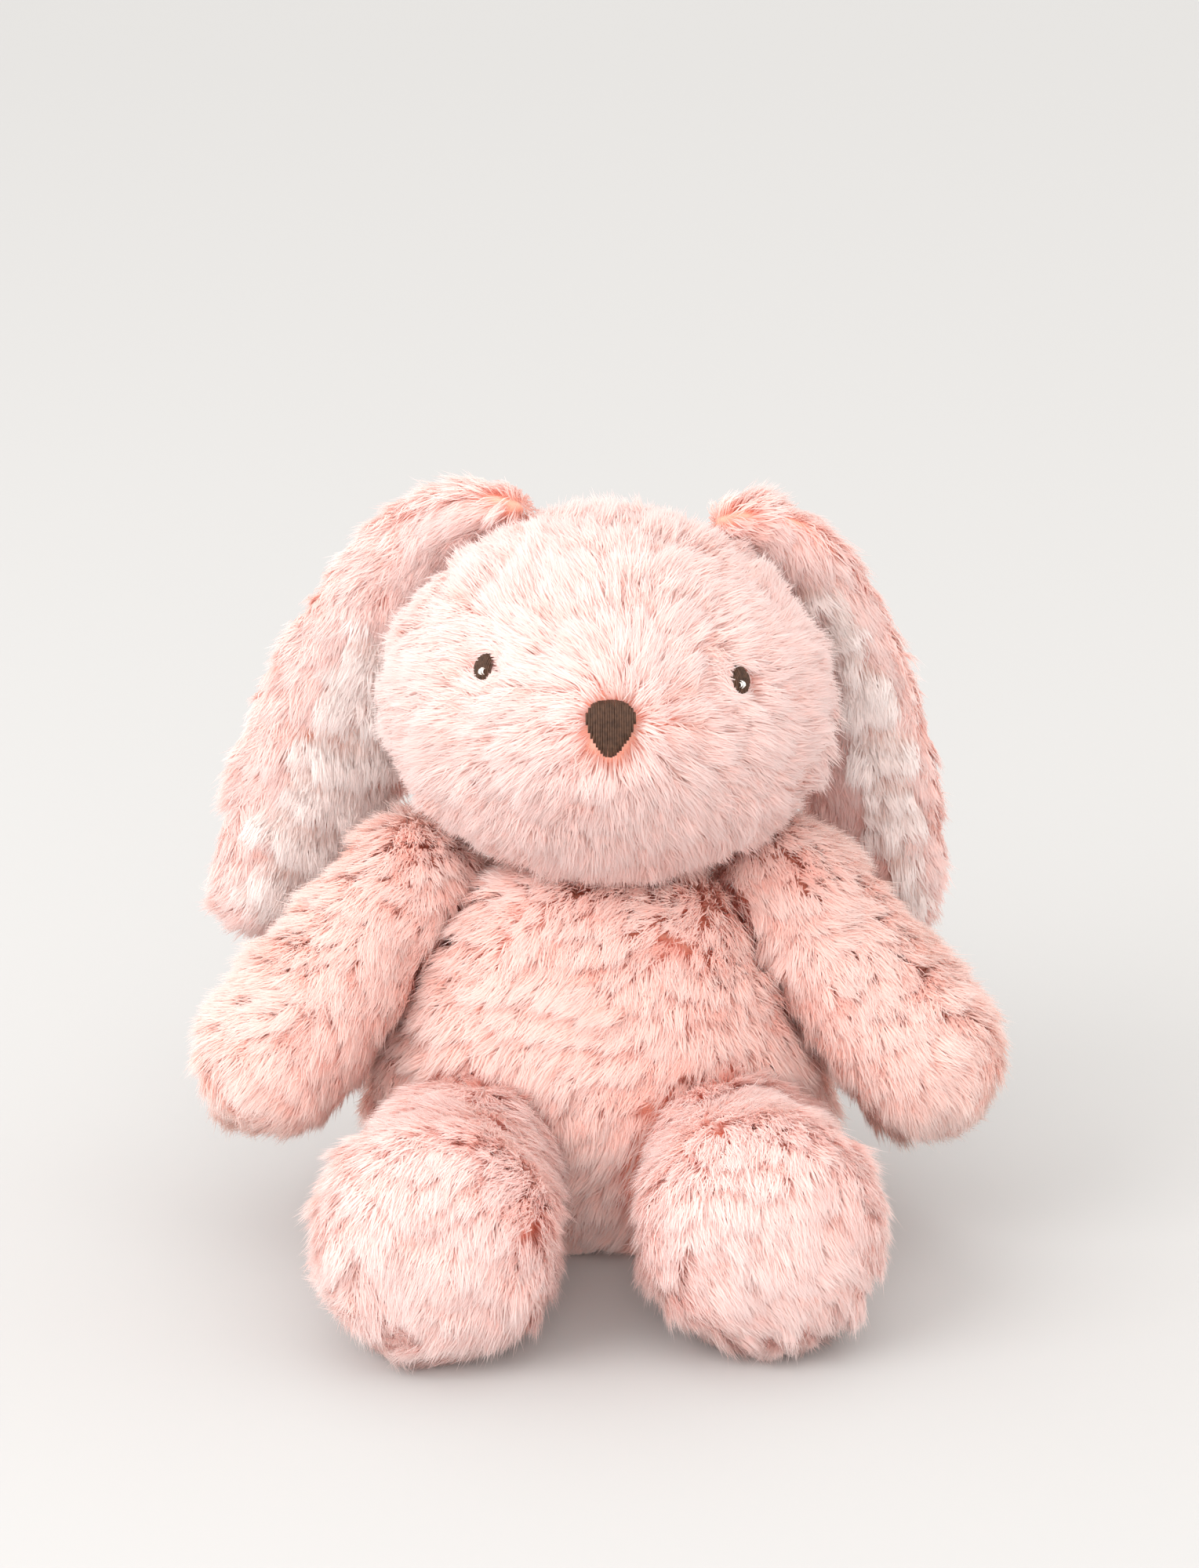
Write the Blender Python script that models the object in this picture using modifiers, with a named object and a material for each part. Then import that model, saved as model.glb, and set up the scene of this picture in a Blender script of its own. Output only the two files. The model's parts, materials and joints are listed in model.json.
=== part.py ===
"""A seated lop-eared plush bunny: fur panels sewn over fibre stuffing.

Metres, +Z up. The bunny faces -Y and sits on Z = 0. Every outer form is taken
at the middle of its fur, so a panel is as thick as the backing and the packed
half of its pile. Each part is shaped round its own empty, which stands on the
joint that the part moves about.
"""

import math

import bmesh
import bpy
from mathutils import Matrix, Vector

# Clearances and cloth
GAP = 0.0003                # between pieces that lie against each other
FUR_CLOTH = 0.006           # knitted backing and packed pile
STUFFING_PLAY = 0.0012      # between a stuffing and the panels round it
SOCKET_PLAY = 0.0012        # round a ball end that turns in its socket
FAR = 0.2                   # reach of a cutter past everything that it cuts
DEPTH_MIDDLE = -0.0315      # Y of the middle of the toy's depth, before it is centred

# Torso
TORSO_HALF = (0.076, 0.055, 0.058)
TORSO_CENTRE = Vector((0.0, -0.004, 0.0465))
TORSO_FILL = 0.58           # below 1 squares the torso's top and bottom off
TORSO_TAPER = 0.36          # share of its width that it loses from seat to shoulders
SIDE_SEAM_Y = 0.0015

# Neck and head
NECK = Vector((0.0, 0.0, 0.106))
NECK_BALL = 0.019
NECK_HOLE = 0.0215
SEAM_THREAD = 0.0006
HEAD_HALF = (0.0605, 0.052, 0.0495)
HEAD_CENTRE = Vector((0.0, -0.008, 0.0490))    # from NECK
HEAD_TILT = math.radians(3.0)
CHEEK_SWELL = 0.07          # how much wider the head is low down than high up
FACE_FILL = 0.86            # below 1 flattens the face round the muzzle
MUZZLE_OUT = 0.0085
MUZZLE_WIDE = 0.027
MUZZLE_HIGH = 0.021
MUZZLE_RISE = 0.002
GUSSET_HALF = 0.0115
GUSSET_BACK_Y = 0.004

# Face
EYE_HALF = (0.0030, 0.0012, 0.0043)
EYE_SIDE = 0.0345           # from the head's middle line
EYE_RISE = 0.0160           # over the head's centre
GLINT_HALF = (0.0008, 0.0006, 0.0012)
NOSE_HALF_WIDTH = 0.0069
NOSE_TOP = 0.0070
NOSE_BOTTOM = 0.0085
NOSE_THICK = 0.0026
NOSE_RISE = 0.0068

# Ears: each follows a cubic Bezier from its root to its tip, given from NECK; one flares more
EAR_ROUTE = {
    "left": (
        Vector((-0.0245, 0.010, 0.0935)),
        Vector((-0.0500, 0.018, 0.1020)),
        Vector((-0.0660, 0.048, 0.0500)),
        Vector((-0.1022, 0.042, -0.0440)),
    ),
    "right": (
        Vector((0.0255, 0.010, 0.0930)),
        Vector((0.0560, 0.018, 0.1000)),
        Vector((0.0640, 0.048, 0.0500)),
        Vector((0.0910, 0.042, -0.0350)),
    ),
}
EAR_HALF_WIDTH = 0.027
EAR_ROOT_SHARE = 0.46
EAR_WIDEST = 0.85           # share of the ear's length over which it widens
EAR_HALF_THICK = 0.0078
EAR_SEAM_GAP = 0.0005       # from the ear's middle to either of its panels
LINING_SHARE = 0.84         # of the ear's width
LINING_TURN = {"left": math.radians(16.0), "right": math.radians(36.0)}

# Arms
SHOULDER = Vector((0.052, 0.002, 0.0955))
HAND = Vector((0.0905, -0.027, 0.0535))
SHOULDER_BALL = 0.0178
HAND_BALL = 0.0216
ARMHOLE_DEPTH = 0.024

# Legs
HIP = Vector((0.0375, -0.050, 0.0285))
HIP_BALL = 0.0255
ANKLE_RADIUS = 0.0245
FOOT_OUT = 0.0055           # how far the foot stands further out than the hip
FOOT_RADIUS = 0.0320
FOOT_HALF_THICK = 0.0240
LEG_REACH = {"left": 0.0560, "right": 0.0500}  # hip to foot; one leg is pushed out further
FOOT_FILL = 0.80            # below 1 squares the foot's edge
FOOT_START = 0.26           # of the foot's half turn, where the ankle meets it
SOLE_SEAM = 0.0070          # from the foot's middle towards its sole

# Bean bag, tail, label and seams
BEAN_BAG_HALF = (0.034, 0.024, 0.013)
TAIL_RADIUS = 0.0185
TAIL_CENTRE = Vector((0.0, 0.0485, 0.024))
LABEL_SIZE = (0.012, 0.0009, 0.018)
LABEL_OFF = 0.0008          # from the torso to the label's sewn edge
CLOSING_SEAM_Z = (0.046, 0.078)

# Facets: segments round and rings along each ball that a form starts from
OUTER_MESH = (22, 17)
INNER_MESH = (16, 11)
SOCKET_MESH = (18, 11)
LIMB_SEGMENTS = 14
EAR_MESH = (12, 15)

PINK_FUR = (0.93, 0.66, 0.59)
PALE_FUR = (0.95, 0.74, 0.69)
WHITE_FUR = (0.93, 0.88, 0.86)
FIBRE = (0.88, 0.88, 0.87)
BEAN_CLOTH = (0.80, 0.80, 0.78)
DARK_THREAD = (0.085, 0.045, 0.028)
WHITE_THREAD = (0.90, 0.89, 0.87)
PINK_THREAD = (0.86, 0.52, 0.45)
LABEL_CLOTH = (0.90, 0.90, 0.89)


def clear_scene():
    for old in list(bpy.data.objects):
        bpy.data.objects.remove(old)


def collection(name):
    made = bpy.data.collections.new(name)
    bpy.context.scene.collection.children.link(made)
    return made


clear_scene()
PARTS = collection("plush_bunny")
CUTTERS = collection("cutters")


def material(name, colour, roughness=0.9):
    made = bpy.data.materials.new(name)
    made.use_nodes = True
    shader = made.node_tree.nodes["Principled BSDF"]
    shader.inputs["Base Color"].default_value = (*colour, 1.0)
    shader.inputs["Roughness"].default_value = roughness
    shader.inputs["Metallic"].default_value = 0.0
    made.diffuse_color = (*colour, 1.0)
    return made


def empty(name, location, parent=None, rotation=(0.0, 0.0, 0.0)):
    made = bpy.data.objects.new(name, None)
    made.empty_display_size = 0.01
    made.location = location
    made.rotation_euler = rotation
    made.parent = parent
    PARTS.objects.link(made)
    return made


def add_object(name, bm, parent, look=None):
    """A part with its look, or a hidden cutter when it has none."""
    bmesh.ops.recalc_face_normals(bm, faces=bm.faces)
    if bm.calc_volume(signed=True) < 0:
        bmesh.ops.reverse_faces(bm, faces=bm.faces)
    mesh = bpy.data.meshes.new(name)
    bm.to_mesh(mesh)
    bm.free()
    made = bpy.data.objects.new(name, mesh)
    made.parent = parent
    if look is None:
        made.hide_render = True
        made.display_type = "WIRE"
        CUTTERS.objects.link(made)
    else:
        mesh.materials.append(look)
        mesh.shade_smooth()
        mesh.set_sharp_from_angle(angle=math.radians(40))
        PARTS.objects.link(made)
    return made


def boolean(target, cutter, operation="DIFFERENCE"):
    step = target.modifiers.new(cutter.name[:50], "BOOLEAN")
    step.operation = operation
    step.solver = "EXACT"
    step.object = cutter
    return target


def ball(segments, rings, place):
    """A unit ball's mesh with each point moved to place(point)."""
    bm = bmesh.new()
    bmesh.ops.create_uvsphere(bm, u_segments=segments, v_segments=rings, radius=1.0)
    for vert in bm.verts:
        vert.co = place(vert.co.copy())
    return bm


def poles_at_sides(place):
    """Lays the ball's rings across X, so that no ring lies on the middle plane."""
    return lambda n: place(Vector((n.z, n.x, n.y)))


def ellipsoid(half, centre=(0.0, 0.0, 0.0)):
    middle = Vector(centre)
    return lambda n: middle + Vector([h * k for h, k in zip(half, n)])


def sphere(radius, centre=(0.0, 0.0, 0.0)):
    return ellipsoid((radius,) * 3, centre)


def block(name, low, high, parent):
    """A box cutter between two corners."""
    bm = bmesh.new()
    bmesh.ops.create_cube(bm, size=1.0)
    low, high = Vector(low), Vector(high)
    for vert in bm.verts:
        vert.co = Vector([l + (h - l) * (c + 0.5) for l, h, c in zip(low, high, vert.co)])
    return add_object(name, bm, parent)


def cylinder(name, radius, low, high, parent):
    """An upright round cutter on the Z axis of its parent."""
    bm = bmesh.new()
    bmesh.ops.create_cone(
        bm, cap_ends=True, segments=24, radius1=radius, radius2=radius, depth=high - low
    )
    middle = Matrix.Translation((0.0, 0.0, (low + high) / 2))
    off_seams = Matrix.Rotation(math.radians(5.0), 4, "Z")
    bmesh.ops.transform(bm, matrix=middle @ off_seams, verts=bm.verts)
    return add_object(name, bm, parent)


def smooth_step(t):
    t = min(max(t, 0.0), 1.0)
    return t * t * (3 - 2 * t)


# ---------------------------------------------------------------- torso


def torso_form(inset):
    """A pear that narrows towards the shoulders."""
    half = [h - inset for h in TORSO_HALF]

    def place(n):
        ring = math.hypot(n.x, n.y)
        fill = ring ** (TORSO_FILL - 1) if ring > 1e-6 else 0.0
        width = fill * (1 - TORSO_TAPER * smooth_step((n.z + 1) / 2))
        return TORSO_CENTRE + Vector((half[0] * width * n.x, half[1] * width * n.y, half[2] * n.z))

    return place


def seat_cutter(name, parent, inset):
    """What lies under the flat seat, inset by the cloth above it."""
    return block(name, (-FAR, -FAR, inset - FAR), (FAR, FAR, inset), parent)


def armhole(name, sign, parent):
    """A cone round the shoulder's axis, as wide as the arm sweeps when it swings."""
    arm = HAND - SHOULDER
    lean = math.atan2(math.hypot(arm.y, arm.z), arm.x)
    inner = SHOULDER.x - (SHOULDER_BALL + SOCKET_PLAY) * math.sin(lean)
    narrow = (SHOULDER_BALL + SOCKET_PLAY) * math.cos(lean)
    length = ARMHOLE_DEPTH
    wide = narrow + length * math.tan(lean) + HAND_BALL - SHOULDER_BALL
    bm = bmesh.new()
    bmesh.ops.create_cone(
        bm, cap_ends=True, segments=26, radius1=narrow, radius2=wide, depth=length
    )
    outwards = Matrix.Rotation(math.radians(sign * 90.0), 4, "Y")
    middle = Matrix.Translation((sign * (inner + length / 2), SHOULDER.y, SHOULDER.z))
    bmesh.ops.transform(bm, matrix=middle @ outwards, verts=bm.verts)
    return add_object(name, bm, parent)


def sockets(parent):
    """Room for the neck, for both arms as they swing, and for both hips."""
    neck_room = sphere(NECK_BALL + SOCKET_PLAY, NECK)
    made = [add_object("neck_socket", ball(*SOCKET_MESH, neck_room), parent)]
    for side, sign in (("left", -1), ("right", 1)):
        for name, at, radius in (("shoulder", SHOULDER, SHOULDER_BALL), ("hip", HIP, HIP_BALL)):
            middle = Vector((sign * at.x, at.y, at.z))
            room = sphere(radius + SOCKET_PLAY, middle)
            made.append(add_object(f"{side}_{name}_socket", ball(*SOCKET_MESH, room), parent))
        made.append(armhole(f"{side}_armhole", sign, parent))
    return made


def build_torso(root):
    fur = material("torso_fur", PINK_FUR)
    fibre = material("torso_fibre", FIBRE)
    hollow = add_object("torso_hollow", ball(*INNER_MESH, torso_form(FUR_CLOTH)), root)
    boolean(hollow, seat_cutter("hollow_floor", root, FUR_CLOTH))
    floor = seat_cutter("seat_plane", root, 0.0)
    neck_hole = cylinder("torso_neck_hole", NECK_HOLE, 0.09, 0.13, root)
    rooms = sockets(root)
    seam, half_gap = SIDE_SEAM_Y, GAP / 2
    keeps = {
        "torso_front_panel": ((-FAR, -FAR, -FAR), (FAR, seam - half_gap, FAR)),
        "torso_back_left_panel": ((-FAR, seam + half_gap, -FAR), (-half_gap, FAR, FAR)),
        "torso_back_right_panel": ((half_gap, seam + half_gap, -FAR), (FAR, FAR, FAR)),
    }
    for name, (low, high) in keeps.items():
        panel = add_object(name, ball(*OUTER_MESH, torso_form(0.0)), root, fur)
        for cutter in (hollow, floor, neck_hole, *rooms):
            boolean(panel, cutter)
        boolean(panel, block(f"{name}_keep", low, high, root), "INTERSECT")
    core = torso_form(FUR_CLOTH + STUFFING_PLAY)
    stuffing = add_object("torso_stuffing", ball(*INNER_MESH, core), root, fibre)
    boolean(stuffing, seat_cutter("stuffing_floor", root, FUR_CLOTH + STUFFING_PLAY))
    for cutter in rooms:
        boolean(stuffing, cutter)
    build_bean_bag(root, stuffing)


def build_bean_bag(root, stuffing):
    """A cloth bag of beans low in the seat, with the stuffing packed over it."""
    floor = FUR_CLOTH + STUFFING_PLAY
    middle = Vector((0.0, 0.012, floor + BEAN_BAG_HALF[2] * 0.8))
    room_half = [h + GAP for h in BEAN_BAG_HALF]
    room = add_object("bean_bag_room", ball(*INNER_MESH, ellipsoid(room_half, middle)), root)
    boolean(stuffing, room)
    cloth = material("bean_cloth", BEAN_CLOTH)
    bag = add_object("bean_bag", ball(*INNER_MESH, ellipsoid(BEAN_BAG_HALF, middle)), root, cloth)
    boolean(bag, block("bean_bag_floor", (-FAR, -FAR, floor - FAR), (FAR, FAR, floor), root))


def build_neck(root):
    """The wad that carries the head, and the thread that gathers the neck round it."""
    fibre = material("neck_fibre", FIBRE)
    neck = empty("neck_joint", NECK, root)
    add_object("neck_stuffing", ball(*INNER_MESH, sphere(NECK_BALL)), neck, fibre)
    seam = bpy.data.curves.new("neck_seam", "CURVE")
    seam.dimensions = "3D"
    seam.bevel_depth = SEAM_THREAD
    seam.bevel_resolution = 0
    line = seam.splines.new("POLY")
    count = 20
    radius = NECK_BALL + SEAM_THREAD + GAP
    line.points.add(count - 1)
    for k, point in enumerate(line.points):
        turn = 2 * math.pi * k / count
        point.co = (radius * math.cos(turn), radius * math.sin(turn), 0.0, 1.0)
    line.use_cyclic_u = True
    ring = bpy.data.objects.new("neck_seam", seam)
    ring.data.materials.append(material("neck_thread", PINK_THREAD, 0.6))
    ring.parent = neck
    PARTS.objects.link(ring)
    return neck


# ---------------------------------------------------------------- head


def head_form(inset):
    """A wide round head, fuller at the cheeks, with a soft muzzle in front."""
    half = [h - inset for h in HEAD_HALF]

    def place(n):
        swell = 1 - CHEEK_SWELL * n.z
        x, y, z = half[0] * swell * n.x, half[1] * n.y, half[2] * n.z
        if n.y < 0:
            across = x / MUZZLE_WIDE
            up = (z - MUZZLE_RISE) / MUZZLE_HIGH
            y = -half[1] * abs(n.y) ** FACE_FILL
            y += n.y * MUZZLE_OUT * math.exp(-across * across - up * up)
        return HEAD_CENTRE + Vector((x, y, z))

    return place


def head_surface(x, z, depth=0.0):
    """The point of the head's face at x and z from its centre, and its way out."""
    form = head_form(depth)

    def at(px, pz):
        nz = pz / HEAD_HALF[2]
        nx = px / (HEAD_HALF[0] * (1 - CHEEK_SWELL * nz))
        return form(Vector((nx, -math.sqrt(max(1 - nx * nx - nz * nz, 0.0)), nz)))

    step = 0.001
    across = at(x + step, z) - at(x - step, z)
    up = at(x, z + step) - at(x, z - step)
    return at(x, z), across.cross(up).normalized()


def gusset_prism(name, half_width, edge, parent):
    """An L-shaped block: the head above the nose and behind the neck."""
    nose_z = HEAD_CENTRE.z + NOSE_RISE - NOSE_BOTTOM / 2 + edge
    neck_y = GUSSET_BACK_Y + edge
    outline = [(-FAR, nose_z), (neck_y, nose_z), (neck_y, -FAR), (FAR, -FAR), (FAR, FAR)]
    outline.append((-FAR, FAR))
    bm = bmesh.new()
    face = bm.faces.new([bm.verts.new((-half_width, y, z)) for y, z in outline])
    grown = bmesh.ops.extrude_face_region(bm, geom=[face])
    moved = [g for g in grown["geom"] if isinstance(g, bmesh.types.BMVert)]
    bmesh.ops.translate(bm, verts=moved, vec=(2 * half_width, 0.0, 0.0))
    return add_object(name, bm, parent)


def on_face(x, z, sink):
    """A frame whose -Y looks out of the face at x and z, sunk into the fur."""
    point, out = head_surface(x, z)
    turn = (-out).to_track_quat("Y", "Z").to_matrix().to_4x4()
    return Matrix.Translation(point - out * sink) @ turn


def placed_ball(half, frame, segments=14, rings=7):
    form = ellipsoid(half)
    return ball(segments, rings, lambda n: frame @ form(n))


def nose_mesh(frame, grow):
    """A flat cushion whose outline is a rounded triangle with its point down."""
    half, top, low = NOSE_HALF_WIDTH + grow, NOSE_TOP + grow, NOSE_BOTTOM + grow
    thick = NOSE_THICK / 2 + grow

    def place(n):
        ring = math.hypot(n.x, n.y)
        if ring < 1e-6:
            return frame @ Vector((0.0, thick * n.z, 0.0))
        c, s = n.x / ring, n.y / ring
        pinch = 1 - 0.42 * smooth_step((0.25 - s) / 1.25)
        x = half * pinch * math.copysign(abs(c) ** 0.8, c)
        z = top * s**0.62 if s > 0 else low * s
        fill = math.sqrt(ring)
        return frame @ Vector((x * fill, thick * n.z, z * fill))

    return ball(22, 5, place)


def build_face(head):
    """Embroidered nose and eyes, and the pockets that they sit in."""
    dark = material("dark_embroidery", DARK_THREAD, 0.5)
    white = material("white_embroidery", WHITE_THREAD, 0.5)
    nose_at = on_face(0.0, NOSE_RISE, NOSE_THICK * 0.2)
    add_object("nose_embroidery", nose_mesh(nose_at, 0.0), head, dark)
    pockets = [add_object("nose_pocket", nose_mesh(nose_at, GAP), head)]
    for side, sign in (("left", -1), ("right", 1)):
        eye_at = on_face(sign * EYE_SIDE, EYE_RISE, EYE_HALF[1] * 0.4)
        eye = add_object(f"{side}_eye_embroidery", placed_ball(EYE_HALF, eye_at), head, dark)
        room = placed_ball([h + GAP for h in EYE_HALF], eye_at)
        pockets.append(add_object(f"{side}_eye_pocket", room, head))
        glint_at = eye_at @ Matrix.Translation((-sign * 0.0007, -EYE_HALF[1], -0.0012))
        glint = placed_ball(GLINT_HALF, glint_at, 8, 5)
        add_object(f"{side}_eye_glint", glint, head, white)
        glint_room = placed_ball([h + GAP / 2 for h in GLINT_HALF], glint_at, 8, 5)
        boolean(eye, add_object(f"{side}_glint_pocket", glint_room, head))
        wide_room = placed_ball([h + GAP for h in GLINT_HALF], glint_at, 8, 5)
        pockets.append(add_object(f"{side}_glint_clearance", wide_room, head))
    return pockets


def build_head(neck):
    head = empty("head_joint", (0.0, 0.0, 0.0), neck, (0.0, HEAD_TILT, 0.0))
    fur = material("head_fur", PALE_FUR)
    fibre = material("head_fibre", FIBRE)
    inner = poles_at_sides(head_form(FUR_CLOTH))
    hollow = add_object("head_hollow", ball(*INNER_MESH, inner), head)
    neck_hole = cylinder("head_neck_hole", NECK_HOLE, -0.02, 0.03, head)
    pockets = build_face(head)
    half_gap = GAP / 2
    keeps = {
        "head_left_panel": block("head_left_keep", (-FAR, -FAR, -FAR), (-half_gap, FAR, FAR), head),
        "head_right_panel": block("head_right_keep", (half_gap, -FAR, -FAR), (FAR, FAR, FAR), head),
        "head_gusset_panel": gusset_prism("gusset_keep", GUSSET_HALF - half_gap, half_gap, head),
    }
    gusset_room = gusset_prism("gusset_room", GUSSET_HALF + half_gap, -half_gap, head)
    for name, keep in keeps.items():
        panel = add_object(name, ball(*OUTER_MESH, poles_at_sides(head_form(0.0))), head, fur)
        for cutter in (hollow, neck_hole, *pockets):
            boolean(panel, cutter)
        boolean(panel, keep, "INTERSECT")
        if name != "head_gusset_panel":
            boolean(panel, gusset_room)
    core = poles_at_sides(head_form(FUR_CLOTH + STUFFING_PLAY))
    stuffing = add_object("head_stuffing", ball(*INNER_MESH, core), head, fibre)
    room = sphere(NECK_BALL + SOCKET_PLAY)
    ball_room = add_object("neck_ball_room", ball(*SOCKET_MESH, room), head)
    for cutter in (ball_room, *pockets):
        boolean(stuffing, cutter)
    return head


# ---------------------------------------------------------------- ears


def bezier(points, t):
    a, b, c, d = points
    u = 1 - t
    return a * u**3 + b * 3 * u * u * t + c * 3 * u * t * t + d * t**3


def ear_frame(t, side, sign):
    """Place, way across and way out of the lining at t along the ear."""
    route = EAR_ROUTE[side]
    turn = LINING_TURN[side]
    step = 0.01
    along = (bezier(route, t + step) - bezier(route, t - step)).normalized()
    at_root = Vector((0.0, -0.45, -0.89))
    hanging = Vector((-sign * math.sin(turn), -math.cos(turn), 0.0))
    facing = at_root.lerp(hanging, smooth_step((t - 0.08) / 0.42))
    across = along.cross(facing).normalized()
    return bezier(route, t), across, across.cross(along).normalized()


def ear_width(t):
    taper = EAR_ROOT_SHARE + (1 - EAR_ROOT_SHARE) * smooth_step(t / EAR_WIDEST)
    middle = abs(2 * t - 1)
    return EAR_HALF_WIDTH * taper * (1 - middle**3.2) ** (1 / 2.2)


def ear_form(side, sign, share, face):
    """Half of an ear: face is 1 for the lining and -1 for the back."""
    pole_inset = 0.004

    def place(n):
        t = pole_inset + (1 - 2 * pole_inset) * (1 - n.z) / 2
        point, across, out = ear_frame(t, side, sign)
        ring = math.hypot(n.x, n.y) or 1.0
        wide, deep = n.x / ring, n.y / ring
        end = min(1.0, ear_width(t) / (0.55 * EAR_HALF_WIDTH))
        if n.z in (1.0, -1.0) or ring < 1e-6:
            wide, deep, end = 0.0, 0.0, 0.0
        thick = EAR_HALF_THICK * max(deep, 0.0) * end + EAR_SEAM_GAP
        return point + across * (share * ear_width(t) * wide) + out * (face * thick)

    return place


def build_ears(head):
    fur = material("ear_fur", PINK_FUR)
    lining = material("ear_lining", WHITE_FUR)
    for side, sign in (("left", -1), ("right", 1)):
        root = EAR_ROUTE[side][0]
        joint = empty(f"{side}_ear_joint", root, head)
        for name, look, share, face in (
            ("outer_panel", fur, 1.0, -1),
            ("lining_panel", lining, LINING_SHARE, 1),
        ):
            form = ear_form(side, sign, share, face)
            bm = ball(*EAR_MESH, lambda n, form=form: form(n) - root)
            add_object(f"{side}_ear_{name}", bm, joint, look)


# ---------------------------------------------------------------- arms and legs


def capsule_profile(t, first, last, length):
    """Radius and height at t from 0 to 1 over two joined balls of unlike size."""
    lean = math.asin((last - first) / length)
    bend = math.pi / 2 - lean
    if t < 1 / 3:
        angle = 3 * t * bend
        return first * math.sin(angle), -first * math.cos(angle)
    if t > 2 / 3:
        angle = bend + (3 * t - 2) * (math.pi - bend)
        return last * math.sin(angle), length - last * math.cos(angle)
    share = 3 * t - 1
    radius = (first + (last - first) * share) * math.sin(bend)
    height = length * share - (first + (last - first) * share) * math.cos(bend)
    return radius, height


def turned(profile):
    """Maps a unit ball to the solid that profile(t) turns about local Z."""

    def place(n):
        radius, height = profile(math.acos(max(-1.0, min(1.0, -n.z))) / math.pi)
        ring = math.hypot(n.x, n.y)
        if ring < 1e-6:
            return Vector((0.0, 0.0, height))
        return Vector((radius * n.x / ring, radius * n.y / ring, height))

    return place


def aim(vector):
    """Turns local Z to point along vector, with local X kept level."""
    return vector.to_track_quat("Z", "Y").to_euler()


def limb(side, part, joint, profile, seams, look, rings):
    """A shell of panels over one stuffing. seams gives each panel's box to keep."""
    fibre = material(f"{side}_{part}_fibre", FIBRE)
    inner = ball(LIMB_SEGMENTS, rings, turned(profile(FUR_CLOTH)))
    hollow = add_object(f"{side}_{part}_hollow", inner, joint)
    for name, (low, high) in seams.items():
        outer = ball(LIMB_SEGMENTS, rings, turned(profile(0.0)))
        panel = add_object(f"{side}_{part}_{name}", outer, joint, look)
        boolean(panel, hollow)
        keep = block(f"{side}_{part}_{name}_keep", low, high, joint)
        boolean(panel, keep, "INTERSECT")
    core = ball(LIMB_SEGMENTS, rings, turned(profile(FUR_CLOTH + STUFFING_PLAY)))
    add_object(f"{side}_{part}_stuffing", core, joint, fibre)


def build_arms(root):
    fur = material("arm_fur", PINK_FUR)
    half_gap = GAP / 2
    for side, sign in (("left", -1), ("right", 1)):
        shoulder = Vector((sign * SHOULDER.x, SHOULDER.y, SHOULDER.z))
        hand = Vector((sign * HAND.x, HAND.y, HAND.z))
        joint = empty(f"{side}_arm_joint", shoulder, root, aim(hand - shoulder))
        length = (hand - shoulder).length

        def profile(inset, length=length):
            return lambda t: capsule_profile(t, SHOULDER_BALL - inset, HAND_BALL - inset, length)

        seams = {
            "front_panel": ((-FAR, half_gap, -FAR), (FAR, FAR, FAR)),
            "back_panel": ((-FAR, -FAR, -FAR), (FAR, -half_gap, FAR)),
        }
        limb(side, "arm", joint, profile, seams, fur, 11)


def leg_profile(inset, reach):
    """Ball at the hip, a short ankle and a puffy round foot."""
    hip, ankle = HIP_BALL - inset, ANKLE_RADIUS - inset
    foot, thick = FOOT_RADIUS - inset, FOOT_HALF_THICK - inset

    def at(t):
        if t < 0.3:
            angle = t / 0.3 * math.pi / 2
            return hip * math.sin(angle), -hip * math.cos(angle)
        if t < 0.4:
            share = (t - 0.3) / 0.1
            return hip + (ankle - hip) * share, (reach - FOOT_HALF_THICK) * 0.5 * share
        angle = math.pi * (FOOT_START + (1 - FOOT_START) * (t - 0.4) / 0.6)
        return foot * math.sin(angle) ** FOOT_FILL, reach - thick * math.cos(angle)

    return at


def build_legs(root):
    fur = material("leg_fur", PALE_FUR)
    half_gap = GAP / 2
    for side, sign in (("left", -1), ("right", 1)):
        hip = Vector((sign * HIP.x, HIP.y, HIP.z))
        reach = LEG_REACH[side]
        rise = FOOT_RADIUS - HIP.z
        ahead = Vector((sign * FOOT_OUT, -math.sqrt(reach**2 - FOOT_OUT**2 - rise**2), rise))
        joint = empty(f"{side}_leg_joint", hip, root, aim(ahead))

        def profile(inset, reach=reach):
            return leg_profile(inset, reach)

        sole = reach + SOLE_SEAM
        seams = {
            "upper_panel": ((-FAR, half_gap, -FAR), (FAR, FAR, sole - half_gap)),
            "lower_panel": ((-FAR, -FAR, -FAR), (FAR, -half_gap, sole - half_gap)),
            "sole_panel": ((-FAR, -FAR, sole + half_gap), (FAR, FAR, FAR)),
        }
        limb(side, "leg", joint, profile, seams, fur, 13)


# ---------------------------------------------------------------- tail and trim


def build_tail(root):
    fur = material("tail_fur", WHITE_FUR)
    fibre = material("tail_fibre", FIBRE)
    clear_of_torso = add_object("torso_clearance", ball(*OUTER_MESH, torso_form(-GAP)), root)
    inner = sphere(TAIL_RADIUS - FUR_CLOTH, TAIL_CENTRE)
    panel = add_object("tail_panel", ball(*INNER_MESH, sphere(TAIL_RADIUS, TAIL_CENTRE)), root, fur)
    boolean(panel, add_object("tail_hollow", ball(12, 8, inner), root))
    boolean(panel, clear_of_torso)
    core = sphere(TAIL_RADIUS - FUR_CLOTH - STUFFING_PLAY, TAIL_CENTRE)
    stuffing = add_object("tail_stuffing", ball(12, 8, core), root, fibre)
    boolean(stuffing, clear_of_torso)


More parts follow.
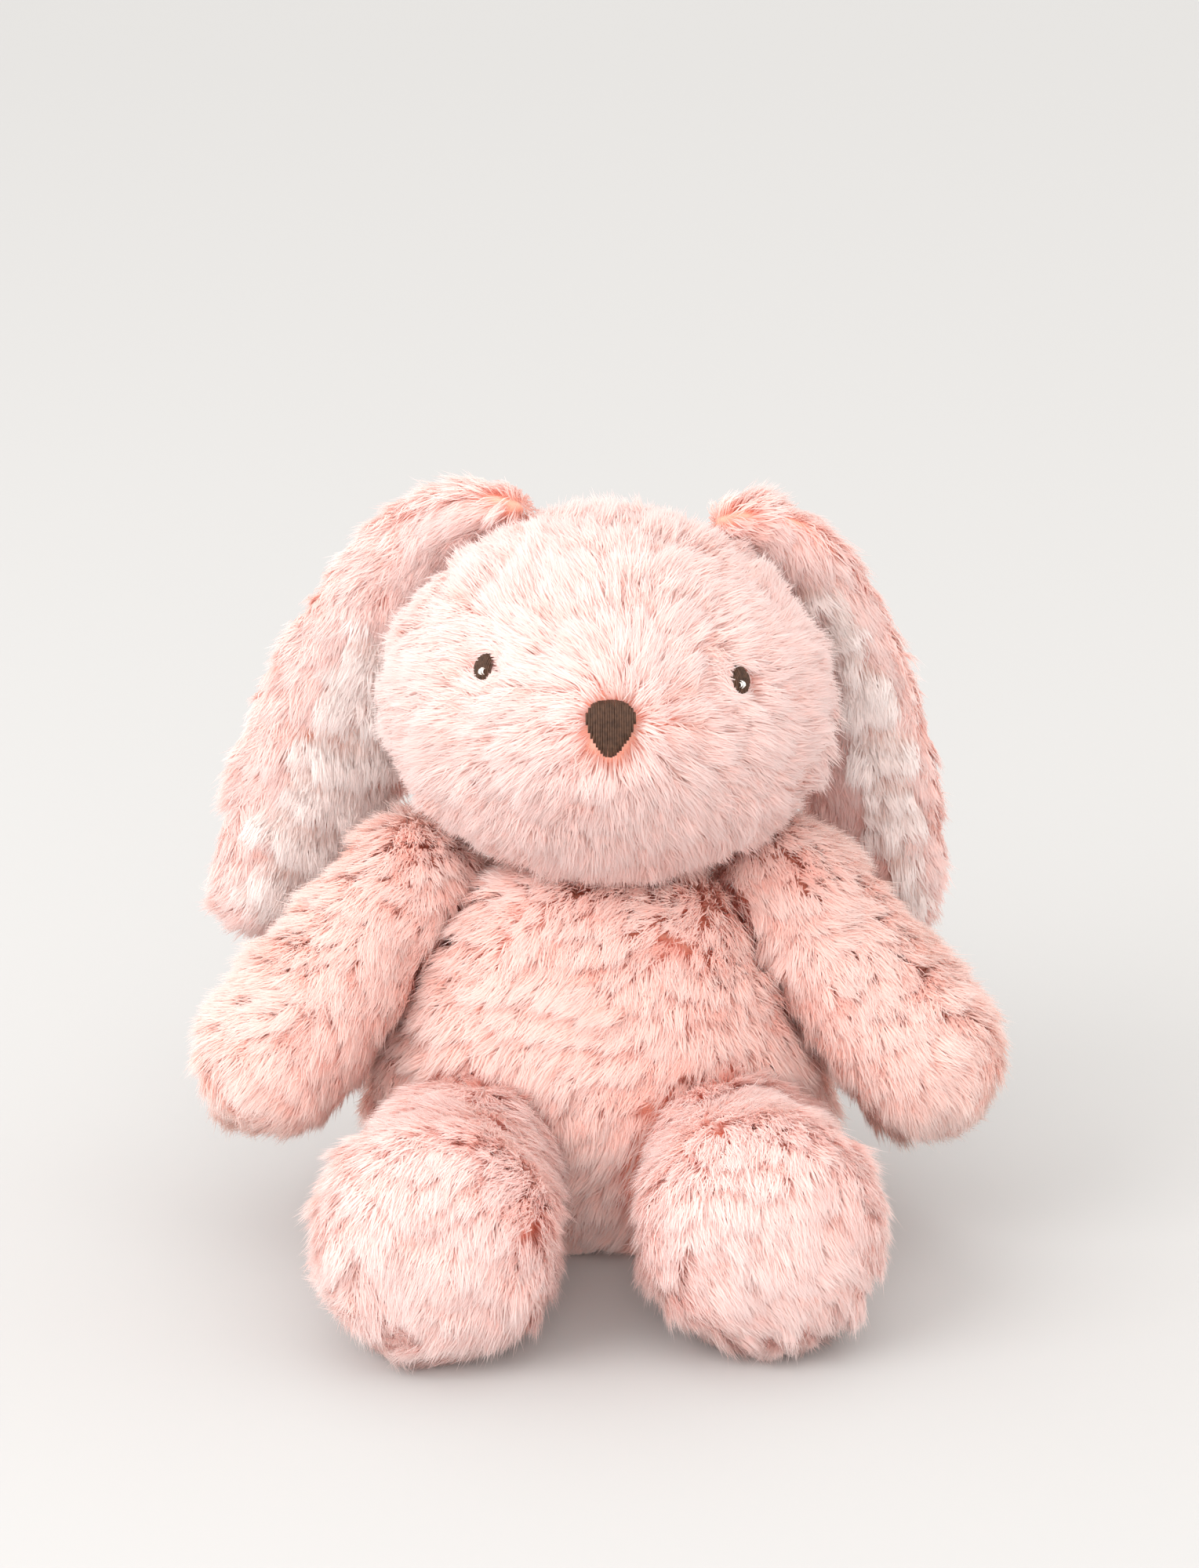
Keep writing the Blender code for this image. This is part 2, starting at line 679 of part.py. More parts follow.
def torso_point(x, z, side_y):
    """The torso's surface at x and z, in front (side_y -1) or behind (1)."""
    nz = (z - TORSO_CENTRE.z) / TORSO_HALF[2]
    ring = math.sqrt(1 - nz * nz)
    widest = torso_form(0.0)(Vector((ring, 0.0, nz))).x
    turn = math.asin(x / widest)
    return torso_form(0.0)(Vector((ring * math.sin(turn), side_y * ring * math.cos(turn), nz)))


def build_label(root):
    """A blank folded care label, sewn into the seam beside the tail."""
    cloth = material("label_cloth", LABEL_CLOTH, 0.7)
    long, thick, high = LABEL_SIZE
    at = torso_point(-0.030, 0.030, 1)
    bm = bmesh.new()
    bmesh.ops.create_cube(bm, size=1.0)
    for vert in bm.verts:
        x, y, z = vert.co
        vert.co = (x * thick, (y + 0.5) * long + LABEL_OFF, z * high)
    label = add_object("care_label", bm, root, cloth)
    label.location = at
    label.rotation_euler = (0.0, 0.0, math.radians(28))
    edge = label.modifiers.new("soft_edges", "BEVEL")
    edge.width = 0.0003
    edge.segments = 1


def build_closing_seam(root):
    """The hand-sewn thread that closes the stuffing hole down the back."""
    seam = bpy.data.curves.new("closing_seam", "CURVE")
    seam.dimensions = "3D"
    seam.bevel_depth = SEAM_THREAD
    seam.bevel_resolution = 1
    seam.use_fill_caps = True
    line = seam.splines.new("POLY")
    count = 12
    low, high = CLOSING_SEAM_Z
    line.points.add(count - 1)
    for k, point in enumerate(line.points):
        at = torso_point(0.0, low + (high - low) * k / (count - 1), 1)
        point.co = (at.x, at.y + SEAM_THREAD + 2 * GAP, at.z, 1.0)
    thread = bpy.data.objects.new("closing_seam", seam)
    seam.materials.append(material("closing_thread", PINK_THREAD, 0.6))
    thread.parent = root
    PARTS.objects.link(thread)


def build_bunny():
    root = empty("bunny", (0.0, -DEPTH_MIDDLE, 0.0))
    build_torso(root)
    head = build_head(build_neck(root))
    build_ears(head)
    build_arms(root)
    build_legs(root)
    build_tail(root)
    build_label(root)
    build_closing_seam(root)


build_bunny()
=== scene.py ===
"""The looks of the seated plush bunny: stuffed skins, long fur, embroidery and light."""

import json
import math

import bmesh
import bpy
import numpy as np
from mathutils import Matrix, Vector
from mathutils.bvhtree import BVHTree


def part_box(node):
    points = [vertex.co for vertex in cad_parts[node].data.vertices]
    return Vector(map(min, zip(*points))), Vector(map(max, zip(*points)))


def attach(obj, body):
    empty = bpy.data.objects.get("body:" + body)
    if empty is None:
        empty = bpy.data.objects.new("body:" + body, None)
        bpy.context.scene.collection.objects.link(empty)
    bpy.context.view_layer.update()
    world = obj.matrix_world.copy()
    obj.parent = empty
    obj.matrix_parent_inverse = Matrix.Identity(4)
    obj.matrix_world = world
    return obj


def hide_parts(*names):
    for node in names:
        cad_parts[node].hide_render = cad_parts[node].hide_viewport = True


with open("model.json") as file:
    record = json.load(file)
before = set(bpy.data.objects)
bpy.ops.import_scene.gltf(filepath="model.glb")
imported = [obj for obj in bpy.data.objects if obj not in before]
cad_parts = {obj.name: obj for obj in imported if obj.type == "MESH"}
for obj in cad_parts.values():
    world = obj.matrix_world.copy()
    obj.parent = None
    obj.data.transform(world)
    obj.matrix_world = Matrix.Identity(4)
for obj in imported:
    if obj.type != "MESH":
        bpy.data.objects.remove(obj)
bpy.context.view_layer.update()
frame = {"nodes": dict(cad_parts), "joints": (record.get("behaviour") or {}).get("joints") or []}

MM = 0.001
SIDES = (("left", -1), ("right", 1))

# The camera stands well back with a long lens, a little above the bunny
CAMERA_AIM = (0.0, 0.0315, 0.125)
CAMERA_TILT = math.radians(17.0)
CAMERA_DISTANCE = 1.111
LENS = 90.0                 # mm, on a sensor 36 mm high
FLOOR_HALF = 30.0

# Fur: wisps of strands grow from the skin, and wisps lean together in tufts
FUR_LENGTH = 0.0105
SKIN_INSET = 0.0052         # from the CAD form, at mid-fur, down to the backing
WISPS_PER_M2 = 0.80e6
STRANDS_PER_WISP = 8
STRAND_WIDTH = 0.42 * MM    # at its bend, where it is widest
WISP_RADIUS = 0.95 * MM
SHADE_BAND = 1 / 64         # width of a strand in the shade map
ROW_SWAY = 0.35             # how far a row of tufts changes the fur's lift and length
FLOOR_GAP = 0.25 * MM       # the lowest that a strand may lie

# Where one part is sewn on, most of the fur of the next is left out
SEAM_REACH = 0.0066
SEAM_SHARE = 0.8

# Painted shade: strands are coloured darker at a tuft's rim, under the row above, and down in a parting,
# where shade falls
RIM_SHADE = 0.15
ROW_SHADE = 0.30
PARTING_SHADE = 0.55
DARKEST = 0.1

# Ear lining: pink band at the ear's outer edge, the lining's own inner edge from the ear's
# middle line, and the pink at the ear's two ends
EDGE_BAND = {"left": 0.0150, "right": 0.0080}
LINING_INNER = {"left": -0.020, "right": -0.002}
LINING_START = {"left": 0.054, "right": 0.026}
LINING_END = 0.008

# Round an embroidered piece the fur lies down in a dish
DISH_REACH = 2.6            # of the piece's half width
DISH_FLOOR = 0.4 * MM       # how high the fur may stand at the piece's edge
DISH_SLOPE = 0.0028         # how much higher at each half width further out
BARE_SHARE = 0.86           # of the piece's outline, inside which nothing grows


# ---------------------------------------------------------------- camera, floor and light


def make_camera():
    """The seated bunny from in front and a little above, through a long lens."""
    data = bpy.data.cameras.new("camera")
    data.lens = LENS
    data.sensor_fit = "VERTICAL"
    data.sensor_height = 36.0
    camera = bpy.data.objects.new("camera", data)
    back = Vector((0.0, -math.cos(CAMERA_TILT), math.sin(CAMERA_TILT)))
    camera.location = Vector(CAMERA_AIM) + CAMERA_DISTANCE * back
    camera.rotation_euler = (math.pi / 2 - CAMERA_TILT, 0.0, 0.0)
    bpy.context.scene.collection.objects.link(camera)
    bpy.context.scene.camera = camera


def link(name, mesh, *looks):
    made = bpy.data.objects.new(name, mesh)
    for look in looks:
        mesh.materials.append(look)
    bpy.context.scene.collection.objects.link(made)
    return made


def make_floor(look):
    """A pale floor that runs on past everything that the camera sees."""
    bm = bmesh.new()
    bmesh.ops.create_grid(bm, x_segments=8, y_segments=8, size=FLOOR_HALF)
    mesh = bpy.data.meshes.new("floor")
    bm.to_mesh(mesh)
    bm.free()
    link("floor", mesh, look)


def add_area(name, location, aim, size, power, colour=(1.0, 1.0, 1.0)):
    """A round soft lamp that the camera can't see."""
    data = bpy.data.lights.new(name, "AREA")
    data.shape = "DISK"
    data.size = size
    data.energy = power
    data.color = colour
    lamp = bpy.data.objects.new(name, data)
    lamp.location = location
    lamp.rotation_euler = (Vector(aim) - Vector(location)).to_track_quat("-Z", "Y").to_euler()
    lamp.visible_camera = False
    bpy.context.scene.collection.objects.link(lamp)


def make_light():
    """A key from the upper left and a warm front light, both soft, in an even pale studio."""
    middle = (0.0, 0.0, 0.1)
    add_area("key", (-1.6, -1.2, 1.3), middle, 1.8, 31.0)
    add_area("front", (0.0, -2.3, 0.5), middle, 1.6, 22.0, (1.0, 0.95, 0.93))
    world = bpy.data.worlds.new("studio")
    world.use_nodes = True
    sky = world.node_tree.nodes["Background"]
    sky.inputs["Color"].default_value = (0.93, 0.92, 0.90, 1.0)
    sky.inputs["Strength"].default_value = 1.64
    bpy.context.scene.world = world
    bpy.context.scene.view_settings.view_transform = "Standard"
    bpy.context.scene.cycles.diffuse_bounces = 10


# ---------------------------------------------------------------- materials


class Look:
    """A material being built: short names for its nodes and links."""

    def __init__(self, name):
        self.material = bpy.data.materials.new(name)
        self.material.use_nodes = True
        self.tree = self.material.node_tree
        self.shader = self.tree.nodes["Principled BSDF"]
        self.output = self.tree.nodes["Material Output"]

    def node(self, kind, **inputs):
        made = self.tree.nodes.new(kind)
        for key, value in inputs.items():
            made.inputs[key.replace("_", " ")].default_value = value
        return made

    def join(self, source, target):
        self.tree.links.new(source, target)

    def ramp(self, source, *stops):
        made = self.tree.nodes.new("ShaderNodeValToRGB")
        marks = made.color_ramp.elements
        while len(marks) < len(stops):
            marks.new(0.5)
        for mark, (place, colour) in zip(marks, stops):
            mark.position = place
            mark.color = (*colour, 1.0)
        self.join(source, made.inputs["Fac"])
        return made.outputs["Color"]

    def mix(self, factor, first, second, blend="MIX"):
        made = self.tree.nodes.new("ShaderNodeMix")
        made.data_type = "RGBA"
        made.blend_type = blend
        for socket, value in zip((made.inputs[0], made.inputs[6], made.inputs[7]), (factor, first, second)):
            if isinstance(value, bpy.types.NodeSocket):
                self.join(value, socket)
            else:
                socket.default_value = value
        return made.outputs[2]


def fur_look(name, root, middle, tip, warm, glowing):
    """Strand colour runs from root to tip. warm tints some strands, and glowing what shines through."""
    look = Look(name)
    shade = look.node("ShaderNodeUVMap")
    shade.uv_map = "OFBake"
    split = look.node("ShaderNodeSeparateXYZ")
    look.join(shade.outputs["UV"], split.inputs["Vector"])
    # The along-strand coordinate also carries painted shade: shaded strands stop lower on this ramp, nearer
    # the darker root colour
    along = look.ramp(split.outputs["Y"], (0.0, root), (0.5, middle), (0.88, tip))
    spots = look.node("ShaderNodeTexNoise", Scale=37.0, Detail=2.0)
    spots.noise_dimensions = "1D"
    look.join(split.outputs["X"], spots.inputs["W"])
    share = look.ramp(spots.outputs["Fac"], (0.35, (0.0, 0.0, 0.0)), (0.7, (1.0, 1.0, 1.0)))
    warmer = look.mix(share, along, (*warm, 1.0), "MULTIPLY")
    look.join(warmer, look.shader.inputs["Base Color"])
    look.shader.inputs["Roughness"].default_value = 0.8
    look.shader.inputs["Specular IOR Level"].default_value = 0.12
    through = look.node("ShaderNodeBsdfTranslucent")
    glow = look.mix(1.0, warmer, (*glowing, 1.0), "MULTIPLY")
    look.join(glow, through.inputs["Color"])
    blend = look.node("ShaderNodeMixShader", Fac=0.5)
    look.join(look.shader.outputs["BSDF"], blend.inputs[1])
    look.join(through.outputs["BSDF"], blend.inputs[2])
    look.join(blend.outputs["Shader"], look.output.inputs["Surface"])
    return look.material


def backing_look(name, light, dark):
    """Knitted backing: fine loops with a little mottling."""
    look = Look(name)
    place = look.node("ShaderNodeTexCoord")
    mottle = look.node("ShaderNodeTexNoise", Scale=160.0, Detail=4.0)
    look.join(place.outputs["Object"], mottle.inputs["Vector"])
    colour = look.ramp(mottle.outputs["Fac"], (0.3, dark), (0.7, light))
    look.join(colour, look.shader.inputs["Base Color"])
    loops = look.node("ShaderNodeTexVoronoi", Scale=1400.0)
    look.join(place.outputs["Object"], loops.inputs["Vector"])
    bump = look.node("ShaderNodeBump", Strength=0.4, Distance=0.0003)
    look.join(loops.outputs["Distance"], bump.inputs["Height"])
    look.join(bump.outputs["Normal"], look.shader.inputs["Normal"])
    look.shader.inputs["Roughness"].default_value = 0.95
    look.shader.inputs["Specular IOR Level"].default_value = 0.1
    return look.material


def thread_look(name, light, dark, roughness=0.5):
    """Twisted thread: fine slanting plies and a little change of tone."""
    look = Look(name)
    place = look.node("ShaderNodeTexCoord")
    tone = look.node("ShaderNodeTexNoise", Scale=900.0, Detail=3.0)
    look.join(place.outputs["Object"], tone.inputs["Vector"])
    colour = look.ramp(tone.outputs["Fac"], (0.3, dark), (0.72, light))
    look.join(colour, look.shader.inputs["Base Color"])
    plies = look.node("ShaderNodeTexWave", Scale=1800.0, Distortion=2.0)
    plies.bands_direction = "DIAGONAL"
    look.join(place.outputs["Object"], plies.inputs["Vector"])
    bump = look.node("ShaderNodeBump", Strength=0.35, Distance=0.0001)
    look.join(plies.outputs["Fac"], bump.inputs["Height"])
    look.join(bump.outputs["Normal"], look.shader.inputs["Normal"])
    look.shader.inputs["Roughness"].default_value = roughness
    look.shader.inputs["Specular IOR Level"].default_value = 0.3
    return look.material


def cloth_look(name, light, dark, threads_per_m=1500.0):
    """Plain woven ribbon or cloth."""
    look = Look(name)
    place = look.node("ShaderNodeTexCoord")
    weave = look.node("ShaderNodeTexChecker", Scale=threads_per_m)
    look.join(place.outputs["Object"], weave.inputs["Vector"])
    mottle = look.node("ShaderNodeTexNoise", Scale=250.0, Detail=4.0)
    look.join(place.outputs["Object"], mottle.inputs["Vector"])
    colour = look.ramp(mottle.outputs["Fac"], (0.3, dark), (0.7, light))
    look.join(colour, look.shader.inputs["Base Color"])
    bump = look.node("ShaderNodeBump", Strength=0.3, Distance=0.0001)
    look.join(weave.outputs["Fac"], bump.inputs["Height"])
    look.join(bump.outputs["Normal"], look.shader.inputs["Normal"])
    look.shader.inputs["Roughness"].default_value = 0.8
    return look.material


def floor_look():
    look = Look("studio_floor")
    place = look.node("ShaderNodeTexCoord")
    tone = look.node("ShaderNodeTexNoise", Scale=0.4, Detail=1.0)
    look.join(place.outputs["Object"], tone.inputs["Vector"])
    colour = look.ramp(tone.outputs["Fac"], (0.3, (0.500, 0.494, 0.490)), (0.7, (0.506, 0.500, 0.496)))
    look.join(colour, look.shader.inputs["Base Color"])
    look.shader.inputs["Roughness"].default_value = 0.9
    look.shader.inputs["Specular IOR Level"].default_value = 0.1
    return look.material


# ---------------------------------------------------------------- skins


def cad_tree(nodes):
    """The CAD solids of these nodes as one surface to measure from."""
    points, faces = [], []
    for node in nodes:
        mesh = frame["nodes"][node].data
        start = len(points)
        points += [v.co.copy() for v in mesh.vertices]
        faces += [[start + k for k in p.vertices] for p in mesh.polygons]
    return BVHTree.FromPolygons(points, faces)


def evaluated_mesh(made, name):
    """The mesh that an object's modifiers make; the object itself goes."""
    mesh = bpy.data.meshes.new_from_object(made.evaluated_get(bpy.context.evaluated_depsgraph_get()))
    mesh.name = name
    bpy.data.objects.remove(made)
    return mesh


def largest_island(mesh):
    """Keeps only the outer surface of a remeshed set of solids."""
    bm = bmesh.new()
    bm.from_mesh(mesh)
    left, best = set(bm.verts), set()
    while left:
        island, edge = set(), [left.pop()]
        while edge:
            vert = edge.pop()
            island.add(vert)
            for e in vert.link_edges:
                other = e.other_vert(vert)
                if other in left:
                    left.remove(other)
                    edge.append(other)
        best = max(best, island, key=len)
    bmesh.ops.delete(bm, geom=[v for v in bm.verts if v not in best], context="VERTS")
    bm.to_mesh(mesh)
    bm.free()


def make_skin(name, nodes, inset, voxel=0.0019, rounds=22, bridged=False):
    """One smooth closed skin under the fur. A bridged one spans its sockets, as taut cloth."""
    bm = bmesh.new()
    for node in nodes:
        bm.from_mesh(frame["nodes"][node].data)
    if bridged:
        hull = bmesh.ops.convex_hull(bm, input=bm.verts)
        inner = [v for v in hull["geom_interior"] if isinstance(v, bmesh.types.BMVert)]
        bmesh.ops.delete(bm, geom=inner, context="VERTS")
        loose = [f for f in bm.faces if f not in set(hull["geom"])]
        bmesh.ops.delete(bm, geom=loose, context="FACES_ONLY")
    joined = bpy.data.meshes.new("joined")
    bm.to_mesh(joined)
    bm.free()
    made = link("joined", joined)
    remesh = made.modifiers.new("remesh", "REMESH")
    remesh.mode = "VOXEL"
    remesh.voxel_size = voxel
    mesh = evaluated_mesh(made, name)
    largest_island(mesh)
    made = link("smoothed", mesh)
    soft = made.modifiers.new("soft", "SMOOTH")
    soft.factor = 0.5
    soft.iterations = rounds
    sunk = made.modifiers.new("sunk", "DISPLACE")
    sunk.mid_level = 0.0
    sunk.strength = -inset
    again = made.modifiers.new("again", "SMOOTH")
    again.factor = 0.5
    again.iterations = 4
    mesh = evaluated_mesh(made, name)
    mesh.shade_smooth()
    return mesh


def arrays(mesh):
    """A mesh's points, normals and triangles as arrays."""
    mesh.calc_loop_triangles()
    points = np.empty(len(mesh.vertices) * 3)
    mesh.vertices.foreach_get("co", points)
    normals = np.empty(len(mesh.vertices) * 3)
    mesh.vertices.foreach_get("normal", normals)
    tris = np.empty(len(mesh.loop_triangles) * 3, dtype=np.int64)
    mesh.loop_triangles.foreach_get("vertices", tris)
    return points.reshape(-1, 3), normals.reshape(-1, 3), tris.reshape(-1, 3)


# ---------------------------------------------------------------- fur


def unit(v):
    return v / np.maximum(np.linalg.norm(v, axis=-1, keepdims=True), 1e-9)


def wave_noise(seed, wavelength, count=12):
    """A smooth random field made of sine waves, with a spread of about 1."""
    rng = np.random.default_rng(seed)
    ways = unit(rng.normal(size=(count, 3)))
    ways *= 2 * math.pi / (wavelength * rng.uniform(0.7, 1.7, (count, 1)))
    starts = rng.uniform(0.0, 2 * math.pi, count)
    return lambda p: np.sin(p @ ways.T + starts).sum(axis=1) / math.sqrt(count / 2)


def vector_noise(seed, wavelength):
    fields = [wave_noise(seed + k, wavelength) for k in range(3)]
    return lambda p: np.stack([f(p) for f in fields], axis=1)


def scatter(mesh, per_m2, rng):
    """Random places on a mesh, even by area, with their normals."""
    points, normals, tris = arrays(mesh)
    a, b, c = (points[tris[:, k]] for k in range(3))
    area = np.linalg.norm(np.cross(b - a, c - a), axis=1) / 2
    count = int(area.sum() * per_m2)
    picked = rng.choice(len(tris), count, p=area / area.sum())
    u, v = rng.random((2, count, 1))
    flip = (u + v) > 1
    u, v = np.where(flip, 1 - u, u), np.where(flip, 1 - v, v)
    weights = (1 - u - v, u, v)
    place = sum(w * points[tris[picked, k]] for k, w in enumerate(weights))
    normal = sum(w * normals[tris[picked, k]] for k, w in enumerate(weights))
    return place, unit(normal)


def nearest_index(places, centres):
    """Which centre is nearest to each place, worked out a few thousand places at a time."""
    found = np.empty(len(places), dtype=np.int64)
    size = (centres**2).sum(axis=1)
    step = 4000
    for start in range(0, len(places), step):
        part = places[start : start + step]
        found[start : start + step] = (size - 2 * part @ centres.T).argmin(axis=1)
    return found


def tuft_of(places, rng, members):
    """Groups places into even tufts; a fourth column of places keeps the rows apart."""
    count = max(int(len(places) / members), 4)
    centres = places[rng.choice(len(places), count, replace=False)]
    for _ in range(3):
        tuft = nearest_index(places, centres)
        sizes = np.maximum(np.bincount(tuft, minlength=count), 1)[:, None]
        centres = np.stack([np.bincount(tuft, col, count) for col in places.T], axis=1) / sizes
    return nearest_index(places, centres), count


def share_of_wisps():
    """The share of the usual number of wisps: always all of them. A smaller share would give wider strands.
    """
    return 1.0


def by_tuft(tuft, count, values):
    """The mean of values over each tuft, given back to each member."""
    sizes = np.maximum(np.bincount(tuft, minlength=count), 1)[:, None]
    means = np.stack([np.bincount(tuft, col, count) for col in values.T], axis=1) / sizes
    return means[tuft]


class Groom:
    """How the fur of one part lies.

    comb(p, n) is its way and row(p) the coordinate across its rows, which are pitch apart and bent
    by warp. lift is how far it stands up, and crest how much more on top. ridge makes the rows
    plainer, partly with painted shade under each row, and ruffle raises them. A tuft is tuft[0] by
    tuft[1] in size, and gather draws its tips together. messy, swirl and parted are the stray tips,
    the wandering of the comb, and how rare partings are, which fleck stretches; a parting's
    strands are shorter and painted darker, as shade. dense is the share of the usual number of wisps.
    """

    def __init__(self, comb, row, seed, length=FUR_LENGTH, lift=0.42, pitch=0.0085, ridge=0.5,
                 tuft=(0.0062, 0.0042), gather=0.22, messy=0.0008, warp=0.004, swirl=0.25, parted=0.9,
                 fleck=(1.0, 1.0, 2.0), ruffle=0.0, dense=1.0, crest=0.0):
        self.comb, self.row, self.seed = comb, row, seed
        self.length, self.lift, self.pitch, self.ridge = length, lift, pitch, ridge
        self.tuft, self.gather, self.messy = tuft, gather, messy
        self.warp, self.swirl, self.parted = warp, swirl, parted
        self.fleck, self.ruffle, self.dense, self.crest = fleck, ruffle, dense, crest


def grow_wisps(mesh, groom, keep_out):
    """Root, bend and tip of each wisp, its normal, its painted brightness (painted shade) and its tuft's
    bulge.
    """
    rng = np.random.default_rng(groom.seed)
    per_m2 = WISPS_PER_M2 * groom.dense * share_of_wisps()
    root, normal = scatter(mesh, per_m2, rng)
    hidden = np.array([near(p, keep_out) for p in root]) & (rng.random(len(root)) < SEAM_SHARE)
    root, normal = root[~hidden], normal[~hidden]
    rows = groom.row(root) + groom.warp * wave_noise(groom.seed + 7, 0.030)(root)
    phase = np.mod(rows / groom.pitch, 1.0)[:, None]
    root = root + normal * groom.ruffle * phase * np.clip((1.0 - phase) / 0.12, 0.0, 1.0)
    way = unit(groom.comb(root, normal)) + groom.swirl * vector_noise(groom.seed + 20, 0.026)(root)
    way = unit(way - (way * normal).sum(axis=1, keepdims=True) * normal)
    swell = wave_noise(groom.seed + 50, 0.014)(root)[:, None]
    lift = groom.lift + groom.ridge * ROW_SWAY * (phase - 0.5) + 0.05 * swell
    lift = lift + groom.crest * np.clip(normal[:, 2:], 0.0, 1.0)
    length = groom.length * (1 + groom.ridge * ROW_SWAY * (phase - 0.5) + 0.06 * swell)
    length = length * rng.uniform(0.9, 1.1, (len(root), 1))
    first = unit(way * (1 - lift) + normal * lift)
    second = unit(way * (1 - 0.55 * lift) + normal * 0.55 * lift + (0.0, 0.0, -0.12))
    bend = root + first * length * 0.5
    tip = bend + second * length * 0.5
    stretched = np.concatenate([root, (rows * groom.tuft[0] / groom.tuft[1])[:, None]], axis=1)
    tuft, count = tuft_of(stretched, rng, per_m2 * groom.tuft[0] * groom.tuft[1])
    middle = by_tuft(tuft, count, tip)
    stray = rng.normal(size=(count, 3))[tuft] * groom.messy
    parted = wave_noise(groom.seed + 60, 0.011)(root * groom.fleck)[:, None]
    parted = np.clip((parted - groom.parted) / 0.7, 0.0, 1.0)
    tip = tip + groom.gather * (middle - tip) + stray
    bend = bend + 0.4 * groom.gather * (by_tuft(tuft, count, bend) - bend) + 0.25 * stray
    centre = by_tuft(tuft, count, root)
    bulge = (root - centre) / groom.tuft[0]
    # Painted shade: a wisp's painted brightness is lowered at its tuft's rim, just under the row above and
    # in a parting, which pulls its colour toward the darker root colour
    edge = np.clip(np.linalg.norm(bulge, axis=1, keepdims=True) * 1.5, 0.0, 1.0)
    under_row = groom.ridge * (1 - phase) ** 3
    painted_brightness = 1.0 - RIM_SHADE * edge**2 - ROW_SHADE * under_row - PARTING_SHADE * parted
    painted_brightness = np.clip(painted_brightness, DARKEST, 1.0)
    tip = bend + (tip - bend) * (1 - 0.45 * parted)
    return root, bend, tip, normal, painted_brightness, bulge


def near(point, trees):
    """Whether a point lies within reach of any of these surfaces."""
    return any(tree.find_nearest(point, reach)[0] is not None for tree, reach in trees)


def grow_strands(wisps, groom, partings):
    """Strands round each wisp, as arrays: root, bend, tip, normal, painted brightness and bulge."""
    rng = np.random.default_rng(groom.seed + 1000)
    root, bend, tip, normal, painted_brightness, bulge = (np.repeat(v, STRANDS_PER_WISP, axis=0) for v in wisps)
    spread = rng.normal(size=root.shape) * WISP_RADIUS
    spread -= (spread * normal).sum(axis=1, keepdims=True) * normal
    root = root + spread
    bend = bend + 0.8 * spread + rng.normal(size=root.shape) * 0.45 * MM
    reach = rng.uniform(0.72, 1.18, (len(root), 1))
    tip = tip + 0.45 * spread + rng.normal(size=root.shape) * 0.85 * MM
    tip = bend + (tip - bend) * reach
    kept = np.ones(len(root), dtype=bool)
    for parting in partings:
        root, bend, tip, kept = parting(root, bend, tip, kept)
    for points in (root, bend, tip):
        low = points[:, 2] < FLOOR_GAP
        points[low, 2] = FLOOR_GAP + rng.random(low.sum()) * 1.2 * MM
    return [v[kept] for v in (root, bend, tip, normal, painted_brightness, bulge)]


def fur_mesh(name, strands, seed):
    """Each strand is a narrow kite: pointed at its root and tip and widest at its bend."""
    root, bend, tip, normal, painted_brightness, bulge = strands
    rng = np.random.default_rng(seed)
    count = len(root)
    wide = share_of_wisps() ** -0.5
    along = unit(tip - root)
    across = unit(np.cross(along, normal))
    face = unit(np.cross(across, along))
    turn = rng.uniform(-0.8, 0.8, (count, 1))
    across = across * np.cos(turn) + face * np.sin(turn)
    face = unit(np.cross(across, along))
    half = across * STRAND_WIDTH / 2 * wide
    points = np.stack([root, bend - half, bend + half, tip], axis=1).reshape(-1, 3)
    corners = (np.arange(count)[:, None] * 4 + (0, 2, 1, 1, 2, 3)).ravel()
    mesh = bpy.data.meshes.new(name)
    mesh.vertices.add(count * 4)
    mesh.vertices.foreach_set("co", points.ravel())
    mesh.loops.add(count * 6)
    mesh.loops.foreach_set("vertex_index", corners)
    mesh.polygons.add(count * 2)
    mesh.polygons.foreach_set("loop_start", np.arange(count * 2) * 3)
    mesh.update(calc_edges=True)
    shade = mesh.uv_layers.new(name="OFBake")
    band = rng.uniform(0.0, 1.0 - SHADE_BAND, (count, 1))
    spread = np.array([[0.5, 1.0, 0.0, 0.0, 1.0, 0.5]])
    u = band + spread * SHADE_BAND
    # Painted shade: a lower painted brightness lowers the bend and tip along the colour ramp, toward the
    # darker root colour
    painted_level = painted_brightness.reshape(-1, 1)
    levels = np.concatenate([0.02 + 0 * painted_level, 0.25 + 0.25 * painted_level, 0.35 + 0.63 * painted_level], axis=1)
    v = levels[:, [0, 1, 1, 1, 1, 2]]
    shade.data.foreach_set("uv", np.stack([u, v], axis=2).ravel())
    soft = unit(normal + 0.35 * bulge + 0.30 * face)
    ends = unit(soft + 0.35 * along)
    normals = np.stack([soft, soft, soft, ends], axis=1).reshape(-1, 3)
    mesh.normals_split_custom_set_from_vertices(normals)
    return mesh


# ---------------------------------------------------------------- combing


def down_and(sideways, forwards=0.0):
    """A comb that runs down, with some way sideways and along Y."""
    return lambda p, n: np.tile((sideways, forwards, -0.8), (len(p), 1))


def away_from(point, droop=0.0):
    """A comb that fans out from a point over the surface, and hangs a little."""
    point = np.array(point)

    def comb(p, n):
        out = p - point
        out = unit(out - (out * n).sum(axis=1, keepdims=True) * n)
        return out + (0.0, 0.0, -droop)

    return comb


def height(p):
    """Level rows, one under another."""
    return -p[:, 2]


def rings_round(point):
    """Rows in rings round a point."""
    return lambda p: np.linalg.norm(p - np.array(point), axis=1)


def centre_of(node):
    low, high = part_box(node)
    return (np.array(low) + np.array(high)) / 2


